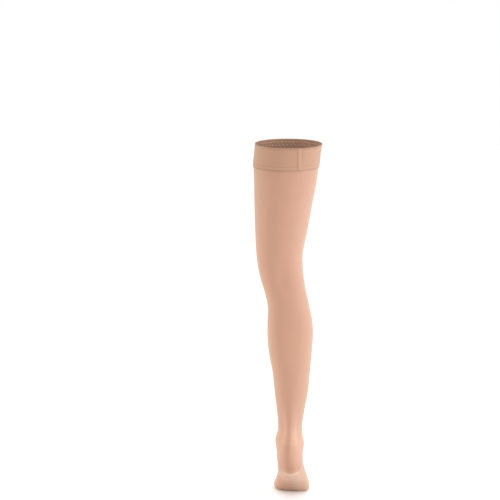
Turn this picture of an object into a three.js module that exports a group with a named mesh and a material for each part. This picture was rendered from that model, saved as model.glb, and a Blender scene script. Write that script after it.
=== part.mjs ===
// A thigh-high compression stocking for a right leg, in the hollow form it takes when it is worn with
// the heel raised. Millimetres: +Z up, +Y towards the toes, +X towards the outer side of the leg.
// The origin is the middle of the grip band, where the thigh holds the stocking up.
import * as THREE from "three";

// Driving sizes
const LEG_CLOTH = 1.2; // wall of the knitted leg and foot
const BAND_CLOTH = 1.6; // wall of the elastic grip band
const SEAM_GAP = 0.3; // clearance between two sewn pieces
const BAND_LAP = 8; // height of leg that the band's lower edge covers
const JOIN_CLOTH = 0.8; // the band's lapped end, above the band
const JOIN_WIDTH = 12;
const JOIN_SIDE = 25; // how far the join's middle lies to the outer side of the origin
const JOIN_INSET = 1.5; // the lapped end stops this far from both edges of the band
const FLOOR = -797; // the ball and the toes are pressed flat at this height

// Fineness of the faceted solids
const AROUND = 40;
const RINGS_PER_STATION = 2;
const JOIN_COLUMNS = 4;
const JOIN_ROWS = 6;
const SLOPE_STEP = 1e-3; // step of the differences that give a surface's slope

// One row for each section of the leg, from the top edge to the tip of the toe. A section lies in the
// plane through its front and back points, across the leg. inner and outer are its sides, wide is
// how far from back to front it is widest, frontSquare and backSquare are 2 on an ellipse, and skew
// is how much farther back the outer side lies, over its distance from the middle.
const COLUMNS = [
  "name", "frontY", "frontZ", "backY", "backZ", "inner", "outer", "wide", "frontSquare", "backSquare",
  "skew",
];
const STATIONS = [
  ["top edge", 82, 33.5, -79.5, 20.5, -74.4, 76.4, 0.5, 2.05, 2.05, 0],
  ["band middle", 81.5, 7.5, -79.5, -5.5, -77, 72.6, 0.5, 2.05, 2.05, 0],
  ["band lower edge", 81.5, -18.5, -79, -31.5, -79.4, 69.8, 0.5, 2.05, 2.05, 0],
  ["upper thigh", 81, -62, -77, -72, -78.6, 64.2, 0.5, 2.05, 2.05, 0],
  ["middle thigh", 78, -118, -72.5, -122, -77.4, 54.2, 0.5, 2.05, 2.05, 0],
  ["lower thigh", 72.5, -175, -65, -175, -75.8, 44.4, 0.5, 2.05, 2.1, 0],
  ["above the knee", 67, -222, -56.5, -222, -73.4, 35, 0.5, 2.1, 2.15, 0],
  ["top of the knee", 65, -253, -51, -253, -70, 34.4, 0.5, 2.1, 2.2, 0],
  ["knee", 63.5, -284, -48, -284, -63.6, 37.4, 0.5, 2.1, 2.2, 0],
  ["below the knee", 58, -314, -48.5, -314, -54.6, 43, 0.5, 2.1, 2.15, 0],
  ["top of the calf", 53, -346, -53, -346, -47.2, 49.8, 0.5, 2, 2.1, 0],
  ["upper calf", 49.5, -382, -59, -382, -47.4, 56.6, 0.48, 1.95, 2.1, 0],
  ["fullest calf", 47.5, -416, -61, -416, -47.4, 58, 0.47, 1.95, 2.1, 0],
  ["lower calf", 44, -455, -58.5, -455, -43.8, 55.4, 0.47, 1.95, 2.05, 0],
  ["shin", 39.5, -500, -53.5, -500, -35.6, 51.2, 0.48, 1.95, 2, 0],
  ["lower shin", 34.5, -545, -49.5, -545, -30.8, 47.2, 0.5, 2, 1.85, 0],
  ["above the ankle", 30.5, -588, -48.5, -590, -25.6, 39.2, 0.53, 2, 1.7, 0],
  ["narrowest ankle", 28, -621, -49.5, -629, -22.6, 34.2, 0.56, 2, 1.62, 0],
  ["ankle bones", 28, -645, -53.5, -655, -24.2, 35.2, 0.59, 2, 1.6, 0],
  ["above the heel", 30, -657, -63.5, -673, -26, 35.8, 0.58, 2, 1.66, 0],
  ["back of the heel", 32.5, -668, -77.5, -688, -26.4, 35.6, 0.54, 2, 1.76, 0],
  ["curve of the heel", 35.5, -678, -86.5, -702, -25.8, 35.2, 0.49, 2, 1.86, 0],
  ["foot of the heel", 38.5, -687, -86, -715, -25, 35.2, 0.45, 2, 1.9, 0.02],
  ["sole of the heel", 42, -695, -74.5, -727.5, -24.2, 36, 0.43, 2, 2, 0.04],
  ["behind the arch", 46.5, -705, -50, -739.5, -23.8, 38.4, 0.4, 2, 2.2, 0.07],
  ["arch", 51.5, -716, -21, -752, -23.8, 41.6, 0.38, 2, 2.5, 0.1],
  ["before the arch", 57.5, -729, 9, -767, -24.8, 45.2, 0.38, 2.05, 2.8, 0.13],
  ["instep", 64.5, -742, 35, -783, -26.2, 49.6, 0.38, 2.1, 3, 0.16],
  ["ball", 73.5, -754.5, 60, -797.5, -28.2, 53.2, 0.34, 2.2, 3.5, 0.2],
  ["root of the toes", 86, -764, 80, -799, -30, 52, 0.34, 2.2, 3.6, 0.22],
  ["toes", 101, -769.5, 98, -799, -29, 47.6, 0.36, 2.2, 3.4, 0.25],
  ["front of the toes", 114, -774, 114, -798.5, -25, 39, 0.48, 2.3, 2.6, 0.27],
  ["end of the toes", 125, -777.5, 126, -797, -17.6, 26, 0.5, 2.2, 2.3, 0.3],
  ["tip of the toe", 131, -783, 131.5, -792.5, -7.6, 12, 0.5, 2, 2, 0.3],
].map((row) => Object.fromEntries(COLUMNS.map((column, i) => [column, row[i]])));
const TOE_POINT = new THREE.Vector3(2.2, 133, -788);

// Soft rises (and, below zero, hollows) of the leg inside: where each is, how far it spreads each way
// and how high it stands.
const RISE_COLUMNS = ["name", "x", "y", "z", "spreadX", "spreadY", "spreadZ", "height"];
const RISES = [
  ["kneecap", -14, 66, -268, 26, 30, 28, 2.6],
  ["hollow of the knee", -14, -50, -282, 20, 24, 34, -4],
  ["inner calf", -24, -50, -424, 26, 26, 52, 3],
  ["outer calf", 32, -48, -392, 24, 26, 48, 2.5],
  ["inner ankle bone", -28, -8, -658, 14, 13, 13, 3.6],
  ["outer ankle bone", 38, -14, -666, 14, 12, 14, 2.6],
  ["hollow inside the tendon", -13, -38, -640, 11, 14, 44, -4],
  ["hollow outside the tendon", 22, -38, -642, 11, 14, 44, -4],
  ["hollow of the arch", -24, -6, -752, 16, 40, 16, -5],
].map((row) => Object.fromEntries(RISE_COLUMNS.map((column, i) => [column, row[i]])));

const stationNamed = (name) => STATIONS.findIndex((station) => station.name === name);

// A column's value between stations, on a smooth curve through the rows.
function between(column, at) {
  const last = STATIONS.length - 1;
  const row = Math.min(Math.floor(at), last - 1);
  const t = at - row;
  const value = (i) => STATIONS[Math.min(Math.max(i, 0), last)][column];
  const [a, b, c, d] = [row - 1, row, row + 1, row + 2].map(value);
  const slopeIn = row === 0 ? c - b : (c - a) / 2;
  const slopeOut = row === last - 1 ? c - b : (d - b) / 2;
  return (
    b * (2 * t ** 3 - 3 * t ** 2 + 1) +
    slopeIn * (t ** 3 - 2 * t ** 2 + t) +
    c * (3 * t ** 2 - 2 * t ** 3) +
    slopeOut * (t ** 3 - t ** 2)
  );
}

const rounded = (part, square) => Math.sign(part) * Math.abs(part) ** (2 / square);

// The outer face of the leg's cloth. angle 0 is the outer side and a quarter turn is the front.
function onLeg(at, angle) {
  const side = Math.cos(angle);
  const forward = Math.sin(angle);
  const square = between(forward > 0 ? "frontSquare" : "backSquare", at);
  const inner = between("inner", at);
  const outer = between("outer", at);
  const wide = between("wide", at);
  const back = new THREE.Vector3(0, between("backY", at), between("backZ", at));
  const front = new THREE.Vector3(0, between("frontY", at), between("frontZ", at));
  const middle = back.clone().lerp(front, wide);
  const reach = forward > 0 ? 1 - wide : wide;
  const point = middle.clone().addScaledVector(front.sub(back), reach * rounded(forward, square));
  const aside = ((outer - inner) / 2) * rounded(side, square);
  point.x = (inner + outer) / 2 + aside;
  const outward = point.clone().sub(middle.setX((inner + outer) / 2)).normalize();
  for (const rise of RISES) {
    const far =
      ((point.x - rise.x) / rise.spreadX) ** 2 +
      ((point.y - rise.y) / rise.spreadY) ** 2 +
      ((point.z - rise.z) / rise.spreadZ) ** 2;
    point.addScaledVector(outward, rise.height * Math.exp(-far));
  }
  point.y -= between("skew", at) * aside;
  point.z = Math.max(point.z, FLOOR);
  return point;
}

// A point that stands off the outer face by a distance, or inside it where that is below zero.
function offLeg(at, angle, distance) {
  const last = STATIONS.length - 1;
  const before = Math.max(at - SLOPE_STEP, 0);
  const after = Math.min(at + SLOPE_STEP, last);
  const down = onLeg(after, angle).sub(onLeg(before, angle));
  const round = onLeg(at, angle + SLOPE_STEP).sub(onLeg(at, angle - SLOPE_STEP));
  return onLeg(at, angle).addScaledVector(down.cross(round).normalize(), distance);
}

// A closed cloth wall over a grid of rows (down the leg) and columns (round it), from one distance
// off the leg's outer face to another. A ring's columns join up, a toe's last row runs to a point,
// and turned is how far round the leg each row's columns are shifted.
function clothWall({ rows, columns, outside, inside, ring, toe, turned = () => 0 }) {
  const points = [];
  const faces = [];
  const width = columns.length;
  for (const distance of [outside, inside]) {
    for (const at of rows) {
      for (const angle of columns) points.push(offLeg(at, angle + turned(at), distance));
    }
  }
  const layer = rows.length * width;
  const index = (row, column, side) => side * layer + row * width + (column % width);
  const quad = (a, b, c, d) => faces.push(a, b, c, a, c, d);
  const spans = ring ? width : width - 1;
  const end = rows.length - 1;
  for (let c = 0; c < spans; c++) {
    for (let r = 0; r < end; r++) {
      quad(index(r, c, 0), index(r + 1, c, 0), index(r + 1, c + 1, 0), index(r, c + 1, 0));
      quad(index(r, c, 1), index(r, c + 1, 1), index(r + 1, c + 1, 1), index(r + 1, c, 1));
    }
    quad(index(0, c, 0), index(0, c + 1, 0), index(0, c + 1, 1), index(0, c, 1));
    if (!toe) quad(index(end, c, 0), index(end, c, 1), index(end, c + 1, 1), index(end, c + 1, 0));
  }
  if (!ring) {
    for (let r = 0; r < end; r++) {
      quad(index(r, 0, 0), index(r, 0, 1), index(r + 1, 0, 1), index(r + 1, 0, 0));
      quad(index(r, spans, 0), index(r + 1, spans, 0), index(r + 1, spans, 1), index(r, spans, 1));
    }
  }
  if (toe) {
    const tip = points.push(toe) - 1;
    const innerTip = points.push(toe.clone().setY(toe.y + inside)) - 1;
    for (let c = 0; c < spans; c++) {
      faces.push(index(end, c, 0), tip, index(end, c + 1, 0));
      faces.push(index(end, c, 1), index(end, c + 1, 1), innerTip);
    }
  }
  const geometry = new THREE.BufferGeometry().setFromPoints(points);
  geometry.setIndex(faces);
  geometry.computeVertexNormals();
  return geometry;
}

const steps = (from, to, count) =>
  Array.from({ length: count + 1 }, (_, i) => from + ((to - from) * i) / count);
const ALL_ROUND = steps(0, 2 * Math.PI, AROUND).slice(0, AROUND);
const BAND_END = stationNamed("band lower edge");
const STATION_DROP = (STATIONS[0].backZ - STATIONS[BAND_END].backZ) / BAND_END;
const ANKLE = stationNamed("narrowest ankle");
const TOE_ROOT = stationNamed("root of the toes");
const TIP = STATIONS.length - 1;

// Half a seam gap at a station, as a part of the way to the next one.
function halfGap(at) {
  const middle = ({ frontY, frontZ, backY, backZ }) =>
    new THREE.Vector2(frontY + backY, frontZ + backZ).multiplyScalar(0.5);
  const spacing = middle(STATIONS[at + 1]).distanceTo(middle(STATIONS[at - 1])) / 2;
  return SEAM_GAP / 2 / spacing;
}

// The knitted tube's wall through a list of rows.
const knitted = (rows, toe) =>
  clothWall({ rows, columns: ALL_ROUND, outside: 0, inside: -LEG_CLOTH, ring: true, toe });

// The rows between two stations, without the two themselves.
const rowsBetween = (from, to) => steps(from, to, (to - from) * RINGS_PER_STATION).slice(1, -1);

// Leg, foot and toe are one knitted tube with the heel knitted in. Its solid parts at the ankle and
// at the root of the toes, where the hollow turns. The leg starts under the band.
const leg = () =>
  knitted([
    BAND_END - BAND_LAP / STATION_DROP,
    BAND_END,
    ...rowsBetween(BAND_END, ANKLE),
    ANKLE - halfGap(ANKLE),
  ]);

const foot = () =>
  knitted([
    ANKLE + halfGap(ANKLE),
    ...rowsBetween(ANKLE, TOE_ROOT),
    TOE_ROOT - halfGap(TOE_ROOT),
  ]);

const toe = () =>
  knitted([TOE_ROOT + halfGap(TOE_ROOT), ...rowsBetween(TOE_ROOT, TIP), TIP], TOE_POINT);

// The elastic band that is sewn over the leg's top edge.
function gripBand() {
  return clothWall({
    rows: steps(0, BAND_END, BAND_END * RINGS_PER_STATION),
    columns: ALL_ROUND,
    outside: SEAM_GAP + BAND_CLOTH,
    inside: SEAM_GAP,
    ring: true,
  });
}

// Where round the band the join lies in a row, so that it hangs plumb.
function joinBearing(at) {
  const inner = between("inner", at);
  const outer = between("outer", at);
  const side = (JOIN_SIDE - (inner + outer) / 2) / ((outer - inner) / 2);
  return 2 * Math.PI - Math.acos(side ** (between("backSquare", at) / 2));
}

// The end of the band, lapped over its other end at the back of the thigh.
function bandJoin() {
  const bandFace = SEAM_GAP + BAND_CLOTH;
  const radius = (STATIONS[0].outer - STATIONS[0].inner) / 2;
  const half = JOIN_WIDTH / 2 / radius;
  const inset = JOIN_INSET / STATION_DROP;
  return clothWall({
    rows: steps(inset, BAND_END - inset, JOIN_ROWS),
    columns: steps(-half, half, JOIN_COLUMNS),
    turned: joinBearing,
    outside: bandFace + SEAM_GAP + JOIN_CLOTH,
    inside: bandFace + SEAM_GAP,
    ring: false,
  });
}

const legKnit = new THREE.MeshStandardMaterial({ color: 0xd9a88e, roughness: 0.8, metalness: 0 });
const bandKnit = new THREE.MeshStandardMaterial({ color: 0xc69a7f, roughness: 0.85, metalness: 0 });

const stocking = new THREE.Group();
for (const [name, geometry, material] of [
  ["leg", leg(), legKnit],
  ["foot", foot(), legKnit],
  ["toe", toe(), legKnit],
  ["grip_band", gripBand(), bandKnit],
  ["band_join", bandJoin(), bandKnit],
]) {
  const mesh = new THREE.Mesh(geometry, material);
  mesh.name = name;
  stocking.add(mesh);
}

export default stocking;
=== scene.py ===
"""A thigh-high compression stocking for a right leg, in its worn form, on a plain pale floor.

Metres, in the part's own frame: +Z up, +Y towards the toes, +X towards the outer side of the leg.
"""

import math

import bpy
import numpy as np
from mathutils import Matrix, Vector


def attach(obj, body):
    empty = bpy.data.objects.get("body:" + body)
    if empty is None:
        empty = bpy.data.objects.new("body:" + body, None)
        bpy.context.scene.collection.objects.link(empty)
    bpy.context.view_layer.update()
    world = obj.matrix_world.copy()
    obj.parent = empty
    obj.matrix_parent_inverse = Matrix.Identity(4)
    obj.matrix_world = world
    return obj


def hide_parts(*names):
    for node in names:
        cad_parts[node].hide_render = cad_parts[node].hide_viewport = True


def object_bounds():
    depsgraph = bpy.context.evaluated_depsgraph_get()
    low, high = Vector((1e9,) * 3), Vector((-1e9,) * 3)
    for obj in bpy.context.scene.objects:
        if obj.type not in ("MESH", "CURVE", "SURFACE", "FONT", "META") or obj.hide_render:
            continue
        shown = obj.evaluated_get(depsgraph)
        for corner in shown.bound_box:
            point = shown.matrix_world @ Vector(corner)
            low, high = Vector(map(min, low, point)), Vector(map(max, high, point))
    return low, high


bl_info = {
    "name": "Thigh-high compression stocking",
    "version": (1, 0, 0),
    "blender": (4, 5, 0),
    "location": "3D View > Sidebar > Stocking",
    "description": "Builds a worn compression stocking with a grip band, and a plain stage",
    "category": "Add Mesh",
}

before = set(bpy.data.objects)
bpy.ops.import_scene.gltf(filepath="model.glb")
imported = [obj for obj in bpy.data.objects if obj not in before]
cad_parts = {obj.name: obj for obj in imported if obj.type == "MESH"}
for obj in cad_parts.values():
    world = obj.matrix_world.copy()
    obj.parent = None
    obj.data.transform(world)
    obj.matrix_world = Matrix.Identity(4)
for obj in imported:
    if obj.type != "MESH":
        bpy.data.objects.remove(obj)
CAD_BOX = [[float(v) for v in corner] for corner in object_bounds()]
MM = 0.001

# The leg's form

# One row for each section, from the top edge to the tip of the toe, in millimetres. A section lies
# in the plane through its front and back points, across the leg. Its columns are the front point,
# the back point, the inner and the outer side, how far from back to front it is widest, how square
# its front and its back are (2 on an ellipse), and its skew, which is how much farther back the
# outer side lies, over its distance from the middle.
FRONT_Y, FRONT_Z, BACK_Y, BACK_Z, INNER, OUTER, WIDE, FRONT_SQUARE, BACK_SQUARE, SKEW = range(10)
SECTIONS = {
    "top edge": (82, 33.5, -79.5, 20.5, -74.4, 76.4, 0.5, 2.05, 2.05, 0),
    "band middle": (81.5, 7.5, -79.5, -5.5, -77, 72.6, 0.5, 2.05, 2.05, 0),
    "band lower edge": (81.5, -18.5, -79, -31.5, -79.4, 69.8, 0.5, 2.05, 2.05, 0),
    "upper thigh": (81, -62, -77, -72, -78.6, 64.2, 0.5, 2.05, 2.05, 0),
    "middle thigh": (78, -118, -72.5, -122, -77.4, 54.2, 0.5, 2.05, 2.05, 0),
    "lower thigh": (72.5, -175, -65, -175, -75.8, 44.4, 0.5, 2.05, 2.1, 0),
    "above the knee": (67, -222, -56.5, -222, -73.4, 35, 0.5, 2.1, 2.15, 0),
    "top of the knee": (65, -253, -51, -253, -70, 34.4, 0.5, 2.1, 2.2, 0),
    "knee": (63.5, -284, -48, -284, -63.6, 37.4, 0.5, 2.1, 2.2, 0),
    "below the knee": (58, -314, -48.5, -314, -54.6, 43, 0.5, 2.1, 2.15, 0),
    "top of the calf": (53, -346, -53, -346, -47.2, 49.8, 0.5, 2, 2.1, 0),
    "upper calf": (49.5, -382, -59, -382, -47.4, 56.6, 0.48, 1.95, 2.1, 0),
    "fullest calf": (47.5, -416, -61, -416, -47.4, 58, 0.47, 1.95, 2.1, 0),
    "lower calf": (44, -455, -58.5, -455, -43.8, 55.4, 0.47, 1.95, 2.05, 0),
    "shin": (39.5, -500, -53.5, -500, -35.6, 51.2, 0.48, 1.95, 2, 0),
    "lower shin": (34.5, -545, -49.5, -545, -30.8, 47.2, 0.5, 2, 1.85, 0),
    "above the ankle": (30.5, -588, -48.5, -590, -25.6, 39.2, 0.53, 2, 1.7, 0),
    "narrowest ankle": (28, -621, -49.5, -629, -22.6, 34.2, 0.56, 2, 1.62, 0),
    "ankle bones": (28, -645, -53.5, -655, -24.2, 35.2, 0.59, 2, 1.6, 0),
    "above the heel": (30, -657, -63.5, -673, -26, 35.8, 0.58, 2, 1.66, 0),
    "back of the heel": (32.5, -668, -77.5, -688, -26.4, 35.6, 0.54, 2, 1.76, 0),
    "curve of the heel": (35.5, -678, -86.5, -702, -25.8, 35.2, 0.49, 2, 1.86, 0),
    "foot of the heel": (38.5, -687, -86, -715, -25, 35.2, 0.45, 2, 1.9, 0.02),
    "sole of the heel": (42, -695, -74.5, -727.5, -24.2, 36, 0.43, 2, 2, 0.04),
    "behind the arch": (46.5, -705, -50, -739.5, -23.8, 38.4, 0.4, 2, 2.2, 0.07),
    "arch": (51.5, -716, -21, -752, -23.8, 41.6, 0.38, 2, 2.5, 0.1),
    "before the arch": (57.5, -729, 9, -767, -24.8, 45.2, 0.38, 2.05, 2.8, 0.13),
    "instep": (64.5, -742, 35, -783, -26.2, 49.6, 0.38, 2.1, 3, 0.16),
    "ball": (73.5, -754.5, 60, -797.5, -28.2, 53.2, 0.34, 2.2, 3.5, 0.2),
    "root of the toes": (86, -764, 80, -799, -30, 52, 0.34, 2.2, 3.6, 0.22),
    "toes": (101, -769.5, 98, -799, -29, 47.6, 0.36, 2.2, 3.4, 0.25),
    "front of the toes": (114, -774, 114, -798.5, -25, 39, 0.48, 2.3, 2.6, 0.27),
    "end of the toes": (125, -777.5, 126, -797, -17.6, 26, 0.5, 2.2, 2.3, 0.3),
    "tip of the toe": (131, -783, 131.5, -792.5, -7.6, 12, 0.5, 2, 2, 0.3),
}
TOE_POINT = (2.2, 133, -788)
FLOOR = -797

# Soft rises and hollows: where each is, how far it spreads each way and how high it stands.
RISES = {
    "kneecap": (-14, 66, -268, 26, 30, 28, 2.6),
    "hollow of the knee": (-14, -50, -282, 20, 24, 34, -4),
    "inner calf": (-24, -50, -424, 26, 26, 52, 3),
    "outer calf": (32, -48, -392, 24, 26, 48, 2.5),
    "inner ankle bone": (-28, -8, -658, 14, 13, 13, 3.6),
    "outer ankle bone": (38, -14, -666, 14, 12, 14, 2.6),
    "hollow inside the tendon": (-13, -38, -640, 11, 14, 44, -4),
    "hollow outside the tendon": (22, -38, -642, 11, 14, 44, -4),
    "hollow of the arch": (-24, -6, -752, 16, 40, 16, -5),
}

# Small creases of the cloth where the joints bend it: the section it crosses at, its middle round
# the leg in degrees (the back is 270), how far it runs each way, its width in sections, how far it
# dips towards its ends and its depth.
CREASES = {
    "tendon, upper": (17.55, 268, 42, 0.10, 0.10, 0.45),
    "tendon, middle": (18.0, 274, 48, 0.11, 0.16, 0.6),
    "tendon, lower": (18.5, 266, 40, 0.10, 0.14, 0.4),
    "instep, upper": (18.4, 84, 46, 0.16, -0.3, 0.6),
    "instep, middle": (19.6, 98, 52, 0.2, -0.4, 0.75),
    "instep, lower": (21.2, 88, 44, 0.22, -0.5, 0.5),
    "toes, upper": (28.6, 92, 50, 0.14, -0.2, 0.5),
    "knee hollow, upper": (7.7, 262, 34, 0.06, 0.10, 0.35),
    "knee hollow, lower": (8.3, 276, 38, 0.06, 0.12, 0.4),
}

TABLE = np.array(list(SECTIONS.values()), float)
LAST = len(TABLE) - 1
BAND_END = list(SECTIONS).index("band lower edge")
BAND_DEPTH = 52.0  # from the band's top edge to its lower edge
BAND_SEWN = (43.8, 50.6)  # how deep the two rows of stitching lie
BAND_RADIUS = 79  # of the rows of stitching
BAND_LAP = 8  # how much of the leg lies under the band
BORDER = 11.5  # height of the band's ribbed upper border
CELL_DROP = 4.6  # height of one raised cell
SEW_IN = 0.9  # how far the join's stitches lie inside its edges
COURSE_DROP = 4.8  # how far the leg's close first course lies below the band

# Where the foot's cloth changes, and where its painted shade and painted highlights lie, in
# millimetres in the part's frame.
HEEL_TOP, HEEL_FRONT, HEEL_BACK = -664, -24, 9
RIM_LOW, RIM_MIDDLE, RIM_RISE = -729, 5, 0.014
TOE_START, TOE_SLANT = 84, 0.28
SOLE_TOP, SOLE_SLOPE = -739, 0.45
ANKLE_MIDDLE, TENDON = -665, -3

# The linked seams, in sections down the leg.
TOE_SEAM = 31.0
HEEL_SEAM_START, HEEL_SEAM_RUN = 19.25, 2.95

# Rows of grip dots, in millimetres below the band's top edge, and a dot's height and width from its
# foot to its top.
DOT_ROWS = (8, 15, 22, 29, 36)
DOT_LIFT = (0.0, 0.0, 0.35, 0.6, 0.72)
DOT_SPREAD = (0.6, 1.0, 0.92, 0.68, 0.35)

# Each lamp's place, the point it faces, its width and height, its power in watts, its colour and
# how wide its beam is in degrees.
MID_LEG, SHIN = (0, 0, -0.38), (0, 0, -0.66)
LAMPS = {
    "light_outer": ((2.9, -1.1, -0.1), MID_LEG, (1.4, 2.2), 74, (0.93, 0.98, 0.97), 180),
    "light_inner": ((-3.0, -0.8, -0.2), MID_LEG, (1.2, 1.8), 9, (1.0, 0.88, 0.75), 180),
    "light_front": ((0.9, 3.4, 0.4), MID_LEG, (1.6, 2.2), 15, (1.0, 0.97, 0.93), 180),
    "light_low_outer": ((2.2, -1.4, -0.6), SHIN, (0.8, 0.8), 1.33, (0.87, 1.0, 0.96), 50),
    "light_low_inner": ((-2.4, -1.2, -0.6), SHIN, (0.8, 0.8), 1.66, (1.0, 1.0, 0.8), 50),
    "light_rim_outer": ((2.4, 0.9, -0.6), SHIN, (0.8, 0.8), 1.4, (0.68, 1.04, 1.25), 50),
    "light_rim_inner": ((-2.4, 0.9, -0.6), SHIN, (0.8, 0.8), 2.45, (0.95, 1.0, 0.9), 50),
}
OVERHEAD_POWER, OVERHEAD_ANGLE = 1.0, 90
SKY_POWER = 1.0
FLOOR_RADIUS, FLOOR_DROP = 14, 0.6 * MM
CAMERA_PLACE, CAMERA_TILT = (-0.0874, -4.340, 0.2765), 83.5
CAMERA_LENS, CAMERA_SENSOR = 136.73, 36


def between(at):
    """Every column's value between sections, on a smooth curve through the rows."""
    at = np.asarray(at, float)
    row = np.clip(np.floor(at).astype(int), 0, LAST - 1)
    t = (at - row)[..., None]
    before, this = TABLE[np.maximum(row - 1, 0)], TABLE[row]
    after, beyond = TABLE[row + 1], TABLE[np.minimum(row + 2, LAST)]
    slope_in = np.where((row == 0)[..., None], after - this, (after - before) / 2)
    slope_out = np.where((row == LAST - 1)[..., None], after - this, (beyond - this) / 2)
    return (
        this * (2 * t**3 - 3 * t**2 + 1)
        + slope_in * (t**3 - 2 * t**2 + t)
        + after * (3 * t**2 - 2 * t**3)
        + slope_out * (t**3 - t**2)
    )


def on_leg(at, angle):
    """The outer face of the leg's cloth, in millimetres. Angle 0 is the outer side and a quarter
    turn is the front."""
    row = np.moveaxis(between(at), -1, 0)
    inner, outer, wide = row[INNER], row[OUTER], row[WIDE]
    back_y, back_z = row[BACK_Y], row[BACK_Z]
    deep_y, deep_z = row[FRONT_Y] - back_y, row[FRONT_Z] - back_z
    side, forward = np.cos(angle), np.sin(angle)
    square = np.where(forward > 0, row[FRONT_SQUARE], row[BACK_SQUARE])

    def rounded(part):
        return np.sign(part) * np.abs(part) ** (2 / square)

    aside = (outer - inner) / 2 * rounded(side)
    reach = np.where(forward > 0, 1 - wide, wide) * rounded(forward)
    across = (outer + inner) / 2
    middle = np.stack([across, back_y + deep_y * wide, back_z + deep_z * wide], -1)
    arm = np.stack([aside, deep_y * reach, deep_z * reach], -1)
    point = middle + arm
    outward = arm / np.linalg.norm(arm, axis=-1, keepdims=True)
    for x, y, z, spread_x, spread_y, spread_z, height in RISES.values():
        far = (
            ((point[..., 0] - x) / spread_x) ** 2
            + ((point[..., 1] - y) / spread_y) ** 2
            + ((point[..., 2] - z) / spread_z) ** 2
        )
        point = point + (height * np.exp(-far))[..., None] * outward
    point[..., 1] -= row[SKEW] * aside
    point[..., 2] = np.maximum(point[..., 2], FLOOR)
    return point


def off_leg(at, angle, distance):
    """Points at a distance in millimetres from the leg's outer face, returned in metres."""
    at, angle, distance = np.broadcast_arrays(
        np.asarray(at, float), np.asarray(angle, float), np.asarray(distance, float)
    )
    step = 1e-3
    down = on_leg(np.minimum(at + step, LAST), angle) - on_leg(np.maximum(at - step, 0), angle)
    turn = on_leg(at, angle + step) - on_leg(at, angle - step)
    out = np.cross(down, turn)
    out /= np.linalg.norm(out, axis=-1, keepdims=True)
    return (on_leg(at, angle) + out * distance[..., None]) * MM


def creased(at, angle):
    """How far the creases and the cloth's own unevenness move it off the form, in millimetres."""
    turn = np.degrees(angle) % 360
    depth = 0.10 * np.sin(7 * angle + 1.9 * at) * np.sin(2.3 * at + 3 * angle)
    depth = depth + 0.07 * np.sin(13 * angle - 3.1 * at) * np.sin(4.1 * at)
    for where, middle, run, width, dip, deep in CREASES.values():
        along = (turn - middle + 180) % 360 - 180
        ends = np.exp(-((along / run) ** 2))
        line = where + dip * (along / run) ** 2
        across = (at - line) / width
        depth = depth - deep * ends * (np.exp(-(across**2)) - 0.6 * np.exp(-((across - 1.6) ** 2)))
    return depth


def at_depth(depth):
    """The place down the table, in sections, of a depth in millimetres below the top edge."""
    return np.asarray(depth, float) / BAND_DEPTH * BAND_END


# Meshes


def tube(rings, poles=None):
    """Faces over rings of points, shape (rings, points, 3). With poles, a point for each end, the
    ends close to them, and without, the last ring joins the first. Returns the points, the faces
    and each face corner's place as (ring, point), which run on past the seam."""
    count, width = rings.shape[:2]
    spans = count - 1 if poles is not None else count
    r, c = np.meshgrid(np.arange(spans), np.arange(width), indexing="ij")
    corners = np.stack(
        [np.stack([r + dr, c + dc], -1) for dr, dc in ((0, 0), (1, 0), (1, 1), (0, 1))], -2
    ).reshape(-1, 4, 2)
    faces = (corners[..., 0] % count) * width + corners[..., 1] % width
    points = rings.reshape(-1, 3)
    faces = [list(f) for f in faces.tolist()]
    corners = [list(map(tuple, k)) for k in corners.tolist()]
    if poles is not None:
        first, last = len(points), len(points) + 1
        points = np.vstack([points, poles])
        for k in range(width):
            nxt, end = (k + 1) % width, (count - 1) * width
            faces.append([first, k, nxt])
            corners.append([(0, k), (0, k), (0, k + 1)])
            faces.append([end + nxt, end + k, last])
            corners.append([(count - 1, k + 1), (count - 1, k), (count - 1, k)])
    return points, faces, corners


def volume(points, faces):
    """Six times the volume inside the faces, below zero when they face inwards."""
    total = 0.0
    for size in (3, 4):
        group = np.array([f for f in faces if len(f) == size])
        for k in range(1, size - 1) if len(group) else ():
            a, b, c = points[group[:, 0]], points[group[:, k]], points[group[:, k + 1]]
            total += float((a * np.cross(b, c)).sum())
    return total


def make_piece(name, points, faces, material, uv=None, masks=None):
    """A shaded mesh on the stocking, its faces turned outwards. uv is a pair for each corner, and
    masks holds a value for each point under each name."""
    if volume(points, faces) < 0:
        faces = [f[::-1] for f in faces]
        uv = [k[::-1] for k in uv] if uv is not None else None
    mesh = bpy.data.meshes.new(name)
    mesh.from_pydata(points.tolist(), [], faces)
    mesh.polygons.foreach_set("use_smooth", [True] * len(mesh.polygons))
    if uv is not None:
        layer = mesh.uv_layers.new(name="knit")
        layer.data.foreach_set("uv", np.concatenate([np.array(k, float) for k in uv]).ravel())
    for label, values in (masks or {}).items():
        layer = mesh.attributes.new(label, "FLOAT", "POINT")
        layer.data.foreach_set("value", np.ascontiguousarray(values, np.float32).ravel())
    mesh.update()
    piece = bpy.data.objects.new(name, mesh)
    bpy.context.collection.objects.link(piece)
    piece.data.materials.append(material)
    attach(piece, "root")
    return piece


def many(parts):
    """One mesh's points and faces from a list of (points, faces)."""
    points, faces, start = [], [], 0
    for some, theirs in parts:
        points.append(some)
        faces += [[start + i for i in f] for f in theirs]
        start += len(some)
    return np.vstack(points), faces


# Materials


def group(name, inputs, outputs):
    """An empty node group with named sockets, or None and the group if it was made before."""
    tree = bpy.data.node_groups.get(name)
    if tree:
        return None, tree
    tree = bpy.data.node_groups.new(name, "ShaderNodeTree")
    for label, kind, default in inputs:
        socket = tree.interface.new_socket(label, in_out="INPUT", socket_type=kind)
        if default is not None:
            socket.default_value = default
    for label, kind in outputs:
        tree.interface.new_socket(label, in_out="OUTPUT", socket_type=kind)
    return Wires(tree), tree


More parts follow.
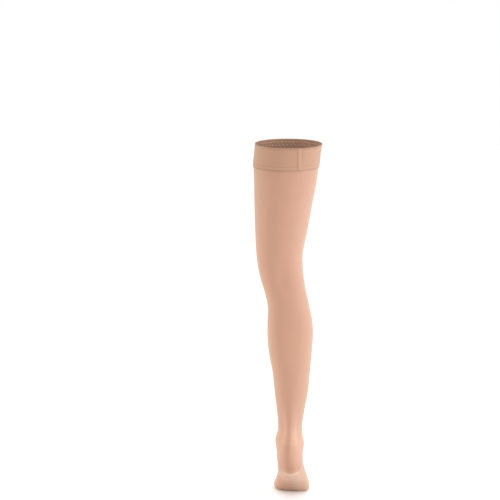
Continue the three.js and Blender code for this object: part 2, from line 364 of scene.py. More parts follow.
class Wires:
    """Adds nodes to a tree and links them, so that a material reads as a list of steps."""

    def __init__(self, tree):
        self.tree = tree

    def node(self, kind, *links, **settings):
        made = self.tree.nodes.new(kind)
        for key, value in settings.items():
            setattr(made, key, value)
        for socket, source in zip(made.inputs, links):
            self.feed(source, socket)
        return made

    def feed(self, source, socket):
        if isinstance(source, (int, float, tuple)):
            socket.default_value = source
        elif source is not None:
            self.tree.links.new(source, socket)

    def math(self, operation, *values):
        return self.node("ShaderNodeMath", *values, operation=operation).outputs[0]

    def mix(self, factor, first, second, blend="MIX"):
        made = self.node("ShaderNodeMix", data_type="RGBA", blend_type=blend)
        self.feed(factor, made.inputs["Factor"])
        self.feed(first, made.inputs[6])
        self.feed(second, made.inputs[7])
        return made.outputs[2]


def knit_group():
    """Rows of knitted loops: each wale is a column of V shapes, and each course is one row."""
    w, tree = group(
        "knitted loops",
        [
            ("Place", "NodeSocketVector", None),
            ("Wales in a turn", "NodeSocketFloat", 400.0),
            ("Courses in a metre", "NodeSocketFloat", 1400.0),
            ("Slant", "NodeSocketFloat", 0.6),
        ],
        [("Height", "NodeSocketFloat"), ("Gaps", "NodeSocketFloat")],
    )
    if w is None:
        return tree
    given = w.node("NodeGroupInput").outputs
    place = w.node("ShaderNodeSeparateXYZ", given["Place"]).outputs
    wale = w.math("FRACT", w.math("MULTIPLY", place[0], given["Wales in a turn"]))
    limb = w.math("MULTIPLY", w.math("ABSOLUTE", w.math("SUBTRACT", wale, 0.5)), 2.0)
    course = w.math("MULTIPLY", place[1], given["Courses in a metre"])
    slanted = w.math("ADD", course, w.math("MULTIPLY", limb, given["Slant"]))
    loop = w.math("SINE", w.math("MULTIPLY", slanted, 2 * math.pi))
    ridge = w.math("POWER", w.math("SINE", w.math("MULTIPLY", limb, math.pi)), 0.7)
    height = w.math("MULTIPLY", ridge, w.math("MULTIPLY_ADD", loop, 0.3, 0.7))
    out = w.node("NodeGroupOutput")
    w.feed(height, out.inputs["Height"])
    w.feed(w.math("SUBTRACT", 1.0, height), out.inputs["Gaps"])
    return tree


def tone_group():
    """Uneven dye and yarn: a broad mottle, and a fine one along the courses."""
    w, tree = group(
        "yarn tone",
        [
            ("Place", "NodeSocketVector", None),
            ("Broad", "NodeSocketFloat", 0.05),
            ("Fine", "NodeSocketFloat", 0.05),
        ],
        [("Tone", "NodeSocketFloat"), ("Fibre", "NodeSocketFloat")],
    )
    if w is None:
        return tree
    given = w.node("NodeGroupInput").outputs
    broad = w.node("ShaderNodeTexNoise", given["Place"])
    broad.inputs["Scale"].default_value = 14.0
    broad.inputs["Detail"].default_value = 3.0
    fine = w.node("ShaderNodeTexNoise", given["Place"])
    fine.inputs["Scale"].default_value = 620.0
    fine.inputs["Detail"].default_value = 2.0
    lift = w.math("MULTIPLY", w.math("SUBTRACT", broad.outputs[0], 0.5), given["Broad"])
    grain = w.math("MULTIPLY", w.math("SUBTRACT", fine.outputs[0], 0.5), given["Fine"])
    tone = w.math("ADD", w.math("ADD", 1.0, lift), grain)
    out = w.node("NodeGroupOutput")
    w.feed(tone, out.inputs["Tone"])
    w.feed(fine.outputs[0], out.inputs["Fibre"])
    return tree


def cloth(name, colour, shade, roughness, knit, bump, sheen, place, masks):
    """A knitted cloth. shade is the colour in the gaps between loops, and knit is the wales in a
    turn, the courses in a metre and the slant of the loops. Where one of the mesh's masks is 1,
    the colour is the one that masks holds for it."""
    material = bpy.data.materials.new(name)
    material.use_nodes = True
    w = Wires(material.node_tree)
    shader = material.node_tree.nodes["Principled BSDF"]
    loops = w.node("ShaderNodeGroup", node_tree=knit_group())
    w.feed(w.node("ShaderNodeUVMap", uv_map=place).outputs[0], loops.inputs["Place"])
    for label, value in zip(("Wales in a turn", "Courses in a metre", "Slant"), knit):
        loops.inputs[label].default_value = value
    solid = w.node("ShaderNodeTexCoord").outputs["Object"]
    tone = w.node("ShaderNodeGroup", node_tree=tone_group())
    w.feed(solid, tone.inputs["Place"])
    knitted = w.mix(w.math("MULTIPLY", loops.outputs["Gaps"], 0.5), (*colour, 1), (*shade, 1))
    for label, there in masks.items():
        where = w.node("ShaderNodeAttribute", attribute_name=label).outputs["Fac"]
        knitted = w.mix(where, knitted, (*there, 1))
    grey = w.node("ShaderNodeCombineXYZ", *[tone.outputs["Tone"]] * 3).outputs[0]
    w.feed(w.mix(1.0, knitted, grey, blend="MULTIPLY"), shader.inputs["Base Color"])
    rough = w.math("MULTIPLY_ADD", tone.outputs["Fibre"], 0.16, roughness - 0.08)
    w.feed(rough, shader.inputs["Roughness"])
    height = w.math("MULTIPLY_ADD", tone.outputs["Fibre"], 0.25, loops.outputs["Height"])
    relief = w.node("ShaderNodeBump")
    relief.inputs["Strength"].default_value = bump
    relief.inputs["Distance"].default_value = 0.25 * MM
    w.feed(height, relief.inputs["Height"])
    w.feed(relief.outputs[0], shader.inputs["Normal"])
    shader.inputs["Sheen Weight"].default_value = sheen
    shader.inputs["Sheen Roughness"].default_value = 0.45
    shader.inputs["Sheen Tint"].default_value = (1.0, 0.9, 0.82, 1)
    shader.inputs["Specular IOR Level"].default_value = 0.35
    return material


def thread(name, colour):
    """Spun sewing thread: fine slanted plies and a little unevenness."""
    material = bpy.data.materials.new(name)
    material.use_nodes = True
    w = Wires(material.node_tree)
    shader = material.node_tree.nodes["Principled BSDF"]
    solid = w.node("ShaderNodeTexCoord").outputs["Object"]
    plies = w.node("ShaderNodeTexWave", solid, wave_type="BANDS", bands_direction="DIAGONAL")
    plies.inputs["Scale"].default_value = 900.0
    plies.inputs["Distortion"].default_value = 1.5
    tone = w.node("ShaderNodeGroup", node_tree=tone_group())
    w.feed(solid, tone.inputs["Place"])
    darker = tuple(0.8 * v for v in colour)
    w.feed(w.mix(plies.outputs[1], (*darker, 1), (*colour, 1)), shader.inputs["Base Color"])
    w.feed(w.math("MULTIPLY_ADD", tone.outputs["Fibre"], 0.2, 0.5), shader.inputs["Roughness"])
    relief = w.node("ShaderNodeBump")
    relief.inputs["Strength"].default_value = 0.4
    relief.inputs["Distance"].default_value = 0.1 * MM
    w.feed(plies.outputs[1], relief.inputs["Height"])
    w.feed(relief.outputs[0], shader.inputs["Normal"])
    return material


def silicone(name, colour):
    """Clear grip rubber over the band's cloth, a little dusty and uneven."""
    material = bpy.data.materials.new(name)
    material.use_nodes = True
    w = Wires(material.node_tree)
    shader = material.node_tree.nodes["Principled BSDF"]
    solid = w.node("ShaderNodeTexCoord").outputs["Object"]
    tone = w.node("ShaderNodeGroup", node_tree=tone_group())
    w.feed(solid, tone.inputs["Place"])
    paler = tuple(0.12 + 0.88 * v for v in colour)
    w.feed(w.mix(tone.outputs["Fibre"], (*colour, 1), (*paler, 1)), shader.inputs["Base Color"])
    w.feed(w.math("MULTIPLY_ADD", tone.outputs["Fibre"], 0.25, 0.18), shader.inputs["Roughness"])
    shader.inputs["Coat Weight"].default_value = 0.4
    shader.inputs["Coat Roughness"].default_value = 0.15
    return material


# Sizes and colours


class StockingSizes(bpy.types.PropertyGroup):
    """Sizes of the stocking's cloth, stitches and grip dots."""

    leg_cloth: bpy.props.FloatProperty(
        name="Leg cloth", description="Wall of the knitted leg", default=1.0 * MM, unit="LENGTH",
        precision=4,
    )
    band_cloth: bpy.props.FloatProperty(
        name="Band cloth", description="Wall of the grip band", default=1.5 * MM, unit="LENGTH",
        precision=4,
    )
    seam_gap: bpy.props.FloatProperty(
        name="Seam gap", description="Clearance between two sewn pieces", default=0.3 * MM,
        unit="LENGTH", precision=4,
    )
    leg_row: bpy.props.FloatProperty(
        name="Leg row", description="Height of a row of faces down the leg", default=2.8 * MM,
        min=1 * MM, unit="LENGTH", precision=4,
    )
    leg_columns: bpy.props.IntProperty(
        name="Leg columns", description="Columns of faces round the leg", default=144, min=24
    )
    wales: bpy.props.IntProperty(
        name="Wales", description="Columns of loops round the leg", default=400, min=40
    )
    courses: bpy.props.IntProperty(
        name="Courses", description="Rows of loops in a metre of the leg", default=1250, min=100
    )
    cells: bpy.props.IntProperty(
        name="Cells", description="Pairs of raised cells round the band", default=54, min=8
    )
    cell_height: bpy.props.FloatProperty(
        name="Cell height", description="How far the band's cells stand up", default=0.2 * MM,
        unit="LENGTH", precision=5,
    )
    join_side: bpy.props.FloatProperty(
        name="Join side", description="How far the band's lap lies to the outer side of the origin",
        default=25 * MM, unit="LENGTH", precision=4,
    )
    join_width: bpy.props.FloatProperty(
        name="Join width", description="Width of the band's lapped end", default=12 * MM,
        unit="LENGTH", precision=4,
    )
    join_cloth: bpy.props.FloatProperty(
        name="Join cloth", description="Height of the lapped end above the band",
        default=0.42 * MM, unit="LENGTH", precision=5,
    )
    stitch: bpy.props.FloatProperty(
        name="Stitch", description="Length of one stitch and its gap", default=3.4 * MM,
        unit="LENGTH", precision=4,
    )
    thread_radius: bpy.props.FloatProperty(
        name="Thread radius", description="Half the sewing thread's thickness",
        default=0.26 * MM, unit="LENGTH", precision=5,
    )
    dot_radius: bpy.props.FloatProperty(
        name="Dot radius", description="Half the width of a grip dot", default=2.0 * MM,
        unit="LENGTH", precision=4,
    )


class StockingColours(bpy.types.PropertyGroup):
    """Colours of the stocking and its stage."""

    leg: bpy.props.FloatVectorProperty(
        name="Leg", description="Yarn of the leg and foot", subtype="COLOR", size=3, min=0, max=1,
        default=(0.43, 0.235, 0.161),
    )
    leg_gaps: bpy.props.FloatVectorProperty(
        name="Leg gaps", description="Between the leg's loops", subtype="COLOR", size=3, min=0,
        max=1, default=(0.32, 0.168, 0.113),
    )
    # Dense knit of the heel pocket and toe; over the back of the heel it also stands for painted
    # shade.
    leg_dense_and_heel_shade: bpy.props.FloatVectorProperty(
        name="Leg, dense", description="The heel pocket and the toe", subtype="COLOR", size=3,
        min=0, max=1, default=(0.36, 0.188, 0.122),
    )
    # Painted shade: a darker, warmer tone under the foot.
    leg_sole_shade: bpy.props.FloatVectorProperty(
        name="Leg, sole", description="Under the foot", subtype="COLOR", size=3, min=0, max=1,
        default=(0.405, 0.19, 0.102),
    )
    # Painted highlight: a paler tone for the heel's rim, the ankle's sides, the sole's outer edge
    # and the kneecap.
    leg_highlight: bpy.props.FloatVectorProperty(
        name="Leg, stretched", description="Where the leg's cloth is stretched thinnest",
        subtype="COLOR", size=3, min=0, max=1, default=(0.53, 0.315, 0.222),
    )
    band: bpy.props.FloatVectorProperty(
        name="Band", description="Yarn of the grip band", subtype="COLOR", size=3, min=0, max=1,
        default=(0.41, 0.231, 0.152),
    )
    band_gaps: bpy.props.FloatVectorProperty(
        name="Band gaps", description="Between the band's loops", subtype="COLOR", size=3, min=0,
        max=1, default=(0.275, 0.15, 0.098),
    )
    thread: bpy.props.FloatVectorProperty(
        name="Thread", description="Sewing thread", subtype="COLOR", size=3, min=0, max=1,
        default=(0.25, 0.14, 0.09),
    )
    grip: bpy.props.FloatVectorProperty(
        name="Grip", description="Grip dots inside the band", subtype="COLOR", size=3, min=0,
        max=1, default=(0.42, 0.26, 0.185),
    )
    floor: bpy.props.FloatVectorProperty(
        name="Floor", description="The stage's floor", subtype="COLOR", size=3, min=0, max=1,
        default=(0.9, 0.9, 0.9),
    )


def sizes():
    return bpy.context.scene.stocking_sizes


def colours():
    return bpy.context.scene.stocking_colours


# The pieces


def path_rows(start, stretches):
    """Rows down the leg, as places down the table and distances in metres. Each stretch is the
    section it ends at and how far apart its rows are in millimetres."""
    fine = np.linspace(start, LAST, 6000)
    line = (on_leg(fine, 0.5 * math.pi) + on_leg(fine, 1.5 * math.pi)) / 2
    run = np.concatenate([[0], np.cumsum(np.linalg.norm(np.diff(line, axis=0), axis=1))])
    stops = [0.0]
    for end, apart in stretches:
        to = float(np.interp(end, fine, run))
        stops += np.linspace(stops[-1], to, round((to - stops[-1]) / apart) + 1)[1:].tolist()
    return np.interp(stops, run, fine), np.array(stops) * MM


def edge(distance, width):
    """0 well below 0 and 1 well above it, with a soft step of about this width between."""
    return 1 / (1 + np.exp(-np.clip(distance / width, -40, 40)))


def heel_rim(x):
    """The height at which the heel turns under, highest at its sides."""
    return RIM_LOW + RIM_RISE * (x - RIM_MIDDLE) ** 2


def below_sole_line(y, z):
    """How far a point is below the slanting line where the sole's painted shade starts."""
    return SOLE_TOP - SOLE_SLOPE * (y + 40) - z


def dense_knit_and_heel_shade(points):
    """1 where the knit is closest: the heel pocket and, less so, the toe and the course that the
    leg starts with under the band. Over the back of the heel, a little to its outer side, it is
    painted shade."""
    x, y, z = points.T
    heel = edge(HEEL_TOP - 0.12 * (y + 60) - z, 0.9)
    heel = heel * edge(HEEL_FRONT + 0.25 * (z + 700) - y, 0.9)
    # Painted shade over the back of the heel, above its rim and a little to the outer side.
    behind = np.exp(-(((x - HEEL_BACK) / 14) ** 2)) * edge(z - heel_rim(x), 2) * edge(-45 - y, 5)
    heel = heel * (0.35 + 0.65 * behind)
    toe = 0.7 * edge(y + TOE_SLANT * x - TOE_START, 0.7)
    hem = TABLE[BAND_END]
    slope = (hem[FRONT_Z] - hem[BACK_Z]) / (hem[FRONT_Y] - hem[BACK_Y])
    below = hem[BACK_Z] + slope * (y - hem[BACK_Y]) - z
    course = 0.5 * np.exp(-(((below - COURSE_DROP) / 0.7) ** 2))
    return np.clip(np.maximum(heel, toe) + course, 0, 1)


def painted_sole_shade(points):
    """Painted shade under the foot, darker and warmer: 1 over the sole, and less towards its outer
    side, which the outer lamp lights.
    """
    x, y, z = points.T
    return edge(below_sole_line(y, z), 4) * edge(y + 92, 6) * (0.3 + 0.7 * edge(14 - x, 5))


def painted_highlights(points):
    """1 where painted highlights lie: along the heel's rim and, less so, over both sides of the
    ankle and along the outer edge of the sole; it is also a little paler over the kneecap."""
    x, y, z = points.T
    rim = np.exp(-(((z - heel_rim(x)) / 4) ** 2) - ((x - RIM_MIDDLE) / 25) ** 4) * edge(-63 - y, 4)
    # The tendon's crest is left darker between the ankle's painted highlights.
    beside = 1 - 0.85 * np.exp(-(((x - TENDON) / 8) ** 2))
    ankle = 0.42 * np.exp(-(((z - ANKLE_MIDDLE) / 36) ** 4)) * beside * edge(5 - y, 8)
    sole = 0.7 * edge(x - 18, 5) * edge(below_sole_line(y, z), 5)
    cap_x, cap_y, cap_z, wide, deep, high = RISES["kneecap"][:6]
    far = ((x - cap_x) / wide) ** 2 + ((y - cap_y) / deep) ** 2 + ((z - cap_z) / high) ** 2
    return np.clip(rim + ankle + sole + 0.15 * np.exp(-0.9 * far), 0, 1)


class STOCKING_OT_leg(bpy.types.Operator):
    """Knit the leg and foot in one piece, from under the band to the closed toe"""

    bl_idname = "stocking.leg"
    bl_label = "Leg and foot"

    def execute(self, context):
        s, c = sizes(), colours()
        wall, row = s.leg_cloth / MM, s.leg_row / MM
        start, ankle = at_depth(BAND_DEPTH - BAND_LAP), list(SECTIONS).index("above the ankle")
        outer = path_rows(start, [(BAND_END + 0.35, 0.3 * row), (ankle, row), (LAST, 0.45 * row)])
        inner = path_rows(start, [(ankle, 2.5 * row), (LAST, 1.3 * row)])
        angle = np.linspace(0, 2 * math.pi, s.leg_columns, endpoint=False)
        layers = []
        for (rows, _), depth in ((outer, 0), (inner, wall)):
            at, turn = np.meshgrid(rows, angle, indexing="ij")
            moved = creased(at, turn) * np.clip((at - BAND_END) / 0.6, 0, 1)
            layers.append(off_leg(at, turn, moved - depth))
        hem = off_leg(start, angle[None], -wall / 2) + np.array([0, 0, 0.35 * wall * MM])
        rings = np.concatenate([layers[0][::-1], hem, layers[1]])
        tip = np.array(TOE_POINT) * MM
        poles = [tip, tip - np.array([0, wall * MM, 0])]
        points, faces, corners = tube(rings, poles)
        place = np.concatenate([outer[1][::-1], [0], inner[1]])
        uv = [[(k / s.leg_columns, place[r]) for r, k in face] for face in corners]
        # Dense knit at the heel and toe, painted shade over the back of the heel and under the
        # foot, and painted highlights along the heel's rim, beside the tendon and on the sole's
        # outer edge.
        knit = cloth(
            "leg knit", c.leg, c.leg_gaps, 0.78, (s.wales, s.courses, 0.6), 0.35, 0.35, "knit",
            {"dense_and_heel_shade": c.leg_dense_and_heel_shade, "sole": c.leg_sole_shade, "painted_highlights": c.leg_highlight},
        )
        masks = {
            "dense_and_heel_shade": dense_knit_and_heel_shade(points / MM),
            "sole": painted_sole_shade(points / MM),
            "painted_highlights": painted_highlights(points / MM),
        }
        leg = make_piece("stocking_leg", points, faces, knit, uv, masks)
        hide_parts("leg", "foot", "toe")
        return {"FINISHED"}


def band_relief(depth, turn):
    """How far the band's outer face stands off its plain form, in millimetres, at a depth below the
    top edge, and how much painted shade darkens its colour there: a rolled edge, a ribbed border,
    staggered cells and the sewn lower border, with painted shade in the fold under the rolled edge,
    along the top, in the stitching grooves and in the hollows between the cells."""
    s = sizes()
    fold = np.exp(-(((depth - 2.7) / 0.6) ** 2))
    roll = 0.35 * np.exp(-(((depth - 1.1) / 0.9) ** 2)) - 0.3 * fold
    ribs = 0.07 * np.cos(turn * s.cells * 4) * np.exp(-(((depth - 7) / 4) ** 4))
    field = edge(depth - BORDER, 0.6) * edge(BAND_SEWN[0] - 1.6 - depth, 0.6)
    rows = np.sin((depth - BORDER) / CELL_DROP * math.pi)
    wave = np.tanh(2.6 * np.sin(turn * s.cells) * rows)
    cells = s.cell_height / MM * wave * 0.5 * field
    upper, lower = [np.exp(-(((depth - d) / 0.6) ** 2)) for d in BAND_SEWN]
    # Painted shade in the fold under the rolled edge, along the top edge and in the two stitching
    # grooves.
    deep = 0.6 * fold + 0.2 * np.exp(-((depth / 8) ** 2)) + 0.4 * upper + 0.6 * lower
    # Painted shade in the hollows between the raised cells.
    deep = deep + 0.15 * (0.5 - 0.5 * wave) * field
    return roll + ribs + cells - 0.2 * upper - 0.32 * lower, np.clip(deep, 0, 1)


class STOCKING_OT_band(bpy.types.Operator):
    """Make the elastic grip band that is sewn over the leg's top edge"""

    bl_idname = "stocking.band"
    bl_label = "Grip band"

    def execute(self, context):
        s, c = sizes(), colours()
        gap, wall = s.seam_gap / MM, s.band_cloth / MM
        columns = s.cells * 12
        angle = np.linspace(0, 2 * math.pi, columns, endpoint=False)
        bottom = BAND_DEPTH - 0.4
        rows = np.arange(5.5, bottom - 0.3, 0.82)
        depth = [0.3, 0.8, 1.4, 2.0, 2.4, 2.8, 3.4, 4.4, *rows, bottom]
        down, turn = np.meshgrid(depth, angle, indexing="ij")
        relief, deep = band_relief(down, turn)
        face = gap + wall + relief
        outside = off_leg(at_depth(down), turn, face)
        around = angle[None]
        lower = [off_leg(at_depth(BAND_DEPTH), around, gap + wall * k) for k in (0.75, 0.3)]
        back = np.linspace(bottom - 0.2, 0.6, 40)
        inside = off_leg(at_depth(back)[:, None], around, gap)
        upper = [off_leg(at_depth(0.0), around, gap + wall * k) for k in (0.3, 0.8, 1.15)]
        rings = np.concatenate([outside, *lower, inside, *upper])
        points, faces, corners = tube(rings)
        end = bottom + np.array([0.6, 1.3])
        start = 2 * bottom + 1.3 + np.array([0, 0.6, 1.2, 1.6])
        place = np.concatenate([depth, end, 2 * bottom + 1.7 - back, start]) * MM
        uv = [[(k / columns, place[r]) for r, k in face] for face in corners]
        # The band's darker colour is painted shade, where band_relief lays it.
        knit = cloth(
            "band knit", c.band, c.band_gaps, 0.82, (s.cells * 7, 1000, 0.35), 0.5, 0.25, "knit",
            {"deep": [0.68 * v for v in c.band]},
        )
        mask = np.zeros(rings.shape[:2])
        mask[: len(depth)] = deep
        band = make_piece("grip_band_cloth", points, faces, knit, uv, {"deep": mask})
        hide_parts("grip_band")
        return {"FINISHED"}


def join_face():
    """The height of the lapped end's outer face off the leg's form, in millimetres."""
    s = sizes()
    return (s.seam_gap * 2 + s.band_cloth + s.join_cloth) / MM


def radius_at_band():
    return float(TABLE[0, OUTER] - TABLE[0, INNER]) / 2


def join_bearing(at):
    """Where round the band the lap lies in a row, so that it hangs plumb."""
    row = between(at)
    inner, outer, square = row[..., INNER], row[..., OUTER], row[..., BACK_SQUARE]
    side = (sizes().join_side / MM - (inner + outer) / 2) / ((outer - inner) / 2)
    return 2 * math.pi - np.arccos(side ** (square / 2))


class STOCKING_OT_join(bpy.types.Operator):
    """Lap the band's end over its other end, behind and to the outer side"""

    bl_idname = "stocking.join"
    bl_label = "Band join"

    def execute(self, context):
        s, c = sizes(), colours()
        half = s.join_width / 2 / MM
        top, low = join_face(), (s.seam_gap * 2 + s.band_cloth) / MM
        ends = [half + 0.15, half, -half, -half - 0.15]
        across = np.concatenate([np.linspace(-half, half, 25), ends])
        rise = np.concatenate([np.full(25, 1.0), [0.5, 0.0], [0.0, 0.5]])
        rise[[0, 24]] = 0.85
        bottom = BAND_DEPTH - 1.7
        rows = np.arange(3.0, bottom - 0.8, 0.6)
        depth = np.concatenate([[1.6, 1.9, 2.4], rows, [bottom - 0.4, bottom]])
        swell = np.ones(len(depth))
        swell[[0, -1]], swell[[1, -2]] = 0.55, 0.85
        down, side = np.meshgrid(depth, across, indexing="ij")
        sewn = np.exp(-(((np.abs(side) - half + SEW_IN) / 0.5) ** 2))
        cells = 0.06 * np.sin(side * 1.4) * np.sin(down / CELL_DROP * math.pi)
        height = low + (top - low - 0.18 * sewn + cells) * (rise[None] * swell[:, None])
        turn = join_bearing(at_depth(down)) + side / radius_at_band()
        rings = off_leg(at_depth(down), turn, height)
        poles = [rings[0].mean(axis=0), rings[-1].mean(axis=0)]
        points, faces, corners = tube(rings, poles)
        uv = [[(k / 900, depth[r] * MM) for r, k in face] for face in corners]
        knit = cloth(
            "join knit", [1.04 * v for v in c.band], c.band_gaps, 0.8, (900, 1000, 0.35), 0.4,
            0.25, "knit", {"deep": [0.6 * v for v in c.band]},
        )
        # Painted shade along the lap's two sewn edges in the join's darker colour: stronger and
        # wider on its outer side, fading towards the band's lower edge.
        spread = np.where(side > 0, 0.85, 0.5)
        line = np.exp(-(((np.abs(side) - half + SEW_IN) / spread) ** 2))
        line = line * np.where(side > 0, 1.0, 0.4) * (0.1 + 0.9 * edge(25 - down, 4))
        mask = np.concatenate([line.ravel(), [0, 0]])
        join = make_piece("band_join_strip", points, faces, knit, uv, {"deep": mask})
        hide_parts("band_join")
        return {"FINISHED"}


def stitch_row(places, height, radius, sides=6, steps=7):
    """Threads between pairs of (section, angle) places. Each rises from the cloth, runs over it
    and sinks again. height is the cloth face's distance off the leg's form, in millimetres."""
    parts = []
    t = np.linspace(0, 1, steps)
    for (at_a, turn_a), (at_b, turn_b) in places:
        at, turn = at_a + (at_b - at_a) * t, turn_a + (turn_b - turn_a) * t
        lift = height - 0.25 + (radius / MM + 0.25) * np.sin(math.pi * t) ** 0.5
        line, above = off_leg(at, turn, lift), off_leg(at, turn, lift + 1)
        up = above - line
        up /= np.linalg.norm(up, axis=1, keepdims=True)
        along = np.gradient(line, axis=0)
        side = np.cross(along, up)
        side /= np.linalg.norm(side, axis=1, keepdims=True)
        angle = np.linspace(0, 2 * math.pi, sides, endpoint=False)
        thin = radius * (0.55 + 0.45 * np.sin(math.pi * t) ** 0.5)
        rings = line[:, None] + thin[:, None, None] * (
            np.cos(angle)[None, :, None] * side[:, None]
            + np.sin(angle)[None, :, None] * up[:, None]
        )
        points, faces, _ = tube(rings, [line[0], line[-1]])
        parts.append((points, faces))
    return many(parts)


class STOCKING_OT_stitches(bpy.types.Operator):
    """Sew the band's lower edge and its join with rows of thread"""

    bl_idname = "stocking.stitches"
    bl_label = "Stitches"

    def execute(self, context):
        s, c = sizes(), colours()
        yarn = thread("sewing thread", c.thread)
        paler = thread("join thread", [1.25 * v for v in c.thread])
        face = (s.seam_gap + s.band_cloth) / MM - 0.3
        count = round(2 * math.pi * BAND_RADIUS / (s.stitch / MM))
        step = 2 * math.pi / count
        for name, depth in zip(("cover_stitch_upper", "cover_stitch_lower"), BAND_SEWN):
            at = float(at_depth(depth))
            places = [((at, k * step + 0.08 * step), (at, (k + 0.84) * step)) for k in range(count)]
            points, faces = stitch_row(places, face, s.thread_radius)
            make_piece(name, points, faces, yarn)
        drop = s.stitch / MM * 0.85
        aside = (s.join_width / 2 / MM - SEW_IN) / radius_at_band()
        for name, side in (("join_stitch_inner", -aside), ("join_stitch_outer", aside)):
            places = [
                [(at, float(join_bearing(at)) + side) for at in at_depth([top, top + drop * 0.76])]
                for top in np.arange(3.0, BAND_DEPTH - 4, drop)
            ]
            points, faces = stitch_row(places, join_face() - 0.25, s.thread_radius)
            make_piece(name, points, faces, paler)
        return {"FINISHED"}


class STOCKING_OT_grip_dots(bpy.types.Operator):
    """Set rows of clear grip dots on the band's inner face"""

    bl_idname = "stocking.grip_dots"
    bl_label = "Grip dots"

    def execute(self, context):
        s, c = sizes(), colours()
        gap = s.seam_gap / MM
        radius = s.dot_radius / MM
        count = s.cells
        parts = []
        angle = np.linspace(0, 2 * math.pi, 14, endpoint=False)
        for row, depth in enumerate(DOT_ROWS):
            for k in range(count):
                middle = 2 * math.pi * (k + 0.5 * (row % 2)) / count
                down = depth + radius * np.outer(DOT_SPREAD, np.sin(angle))
                turn = middle + radius * np.outer(DOT_SPREAD, np.cos(angle)) / radius_at_band()
                rings = off_leg(at_depth(down), turn, gap + 0.02 - np.array(DOT_LIFT)[:, None])
                ends = [
                    off_leg(at_depth(depth), middle, gap + 0.02),
                    off_leg(at_depth(depth), middle, gap - 0.75),
                ]
                points, faces, _ = tube(rings, ends)
                parts.append((points, faces))
        points, faces = many(parts)
        make_piece("grip_dots", points, faces, silicone("grip silicone", c.grip))
        return {"FINISHED"}


class STOCKING_OT_linked_seams(bpy.types.Operator):
    """Close the toe with a linked seam, and link the heel pocket's short rows at both sides"""

    bl_idname = "stocking.linked_seams"
    bl_label = "Toe and heel seams"

    def execute(self, context):
        s, c = sizes(), colours()
        yarn = thread("linking thread", [0.92 * v for v in c.leg])
        turns = np.radians(np.linspace(8, 172, 84))
        where = TOE_SEAM + 0.25 * np.sin(turns)
        places = [
            ((a - 0.06, t), (a + 0.06, t + 0.012)) for a, t in zip(where.tolist(), turns.tolist())
        ]
        points, faces = stitch_row(places, 0.3, s.thread_radius * 1.2, steps=6)
        make_piece("toe_seam", points, faces, yarn)
        run = np.linspace(0, 1, 54)
        for name, side, way in (("heel_seam_outer", 0, -1), ("heel_seam_inner", math.pi, 1)):
            where = HEEL_SEAM_START + HEEL_SEAM_RUN * run
            turns = side + way * np.radians(2 + 50 * run**1.2)
            places = [
                ((a - 0.035, t), (a + 0.035, t - 0.012 * way))
                for a, t in zip(where.tolist(), turns.tolist())
            ]
            points, faces = stitch_row(places, 0.15, s.thread_radius * 0.9, steps=6)
            make_piece(name, points, faces, yarn)
        return {"FINISHED"}


class STOCKING_OT_declare(bpy.types.Operator):
    """An empty step, which does nothing"""

    bl_idname = "stocking.declare"
    bl_label = "Cut sizes"

    def execute(self, context):
        return {"FINISHED"}


def softbox(name, place, target, size, power, colour, spread):
    """A rectangular light that faces a point. spread is how wide its beam is, in degrees."""
    light = bpy.data.lights.new(name, "AREA")
    light.shape = "RECTANGLE"
    light.size, light.size_y = size
    light.spread = math.radians(spread)
    light.energy = power
    light.color = colour
    lamp = bpy.data.objects.new(name, light)
    bpy.context.collection.objects.link(lamp)
    lamp.location = place
    aim = lamp.location - type(lamp.location)(target)
    lamp.rotation_euler = aim.to_track_quat("Z", "Y").to_euler()


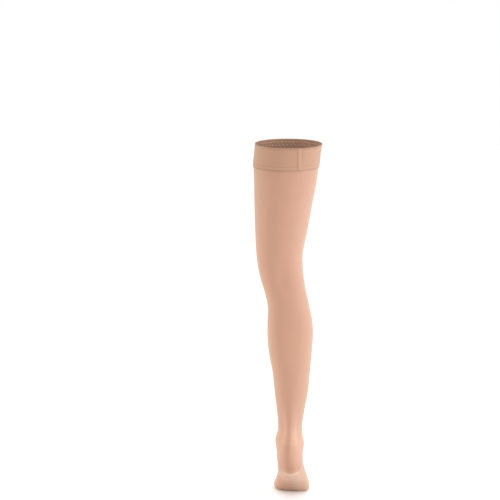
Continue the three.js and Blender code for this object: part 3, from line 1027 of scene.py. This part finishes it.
class STOCKING_OT_stage(bpy.types.Operator):
    """Set the floor, the lights and the camera"""

    bl_idname = "stocking.stage"
    bl_label = "Stage"

    def execute(self, context):
        c = colours()
        scene = context.scene
        low = CAD_BOX[0][2] - FLOOR_DROP
        turn = np.linspace(0, 2 * math.pi, 96, endpoint=False)
        ground = [(FLOOR_RADIUS * math.cos(a), FLOOR_RADIUS * math.sin(a), low) for a in turn]
        mesh = bpy.data.meshes.new("floor")
        mesh.from_pydata(ground, [], [list(range(len(ground)))])
        floor = bpy.data.objects.new("floor", mesh)
        context.collection.objects.link(floor)
        material = bpy.data.materials.new("floor paint")
        material.use_nodes = True
        w = Wires(material.node_tree)
        shader = material.node_tree.nodes["Principled BSDF"]
        grain = w.node("ShaderNodeTexNoise", w.node("ShaderNodeTexCoord").outputs["Object"])
        grain.inputs["Scale"].default_value = 3.0
        darker = tuple(0.99 * v for v in c.floor)
        w.feed(w.mix(grain.outputs[0], (*darker, 1), (*c.floor, 1)), shader.inputs["Base Color"])
        shader.inputs["Roughness"].default_value = 0.9
        shader.inputs["Specular IOR Level"].default_value = 0.1
        mesh.materials.append(material)

        world = bpy.data.worlds.new("studio")
        world.use_nodes = True
        sky = world.node_tree.nodes["Background"]
        sky.inputs["Color"].default_value = (1.0, 1.0, 1.0, 1)
        sky.inputs["Strength"].default_value = SKY_POWER
        scene.world = world
        for name, lamp in LAMPS.items():
            softbox(name, *lamp)
        overhead = bpy.data.lights.new("light_overhead", "SUN")
        overhead.energy = OVERHEAD_POWER
        overhead.angle = math.radians(OVERHEAD_ANGLE)
        lamp = bpy.data.objects.new("light_overhead", overhead)
        context.collection.objects.link(lamp)
        lamp.location = (0, 0, 3)

        lens = bpy.data.cameras.new("camera")
        lens.sensor_width = CAMERA_SENSOR
        lens.lens = CAMERA_LENS
        lens.clip_end = 60
        camera = bpy.data.objects.new("camera", lens)
        context.collection.objects.link(camera)
        camera.location = CAMERA_PLACE
        camera.rotation_euler = (math.radians(CAMERA_TILT), 0, 0)
        scene.camera = camera
        scene.view_settings.view_transform = "Standard"
        return {"FINISHED"}


class STOCKING_PT_panel(bpy.types.Panel):
    """The pieces and their sizes and colours"""

    bl_idname = "STOCKING_PT_panel"
    bl_label = "Compression stocking"
    bl_space_type = "VIEW_3D"
    bl_region_type = "UI"
    bl_category = "Stocking"

    def draw(self, context):
        for step in STEPS:
            self.layout.operator(step.bl_idname)
        for held in (context.scene.stocking_sizes, context.scene.stocking_colours):
            box = self.layout.box()
            for name in held.__annotations__:
                box.prop(held, name)


STEPS = (
    STOCKING_OT_stage,
    STOCKING_OT_leg,
    STOCKING_OT_band,
    STOCKING_OT_join,
    STOCKING_OT_stitches,
    STOCKING_OT_grip_dots,
    STOCKING_OT_linked_seams,
    STOCKING_OT_declare,
)
CLASSES = (StockingSizes, StockingColours, *STEPS, STOCKING_PT_panel)


def register():
    for each in CLASSES:
        bpy.utils.register_class(each)
    bpy.types.Scene.stocking_sizes = bpy.props.PointerProperty(type=StockingSizes)
    bpy.types.Scene.stocking_colours = bpy.props.PointerProperty(type=StockingColours)


def unregister():
    del bpy.types.Scene.stocking_sizes
    del bpy.types.Scene.stocking_colours
    for each in reversed(CLASSES):
        bpy.utils.unregister_class(each)


def main():
    register()
    for step in STEPS:
        module, call = step.bl_idname.split(".")
        getattr(getattr(bpy.ops, module), call)()
    bpy.context.view_layer.update()


if __name__ == "__main__":
    main()
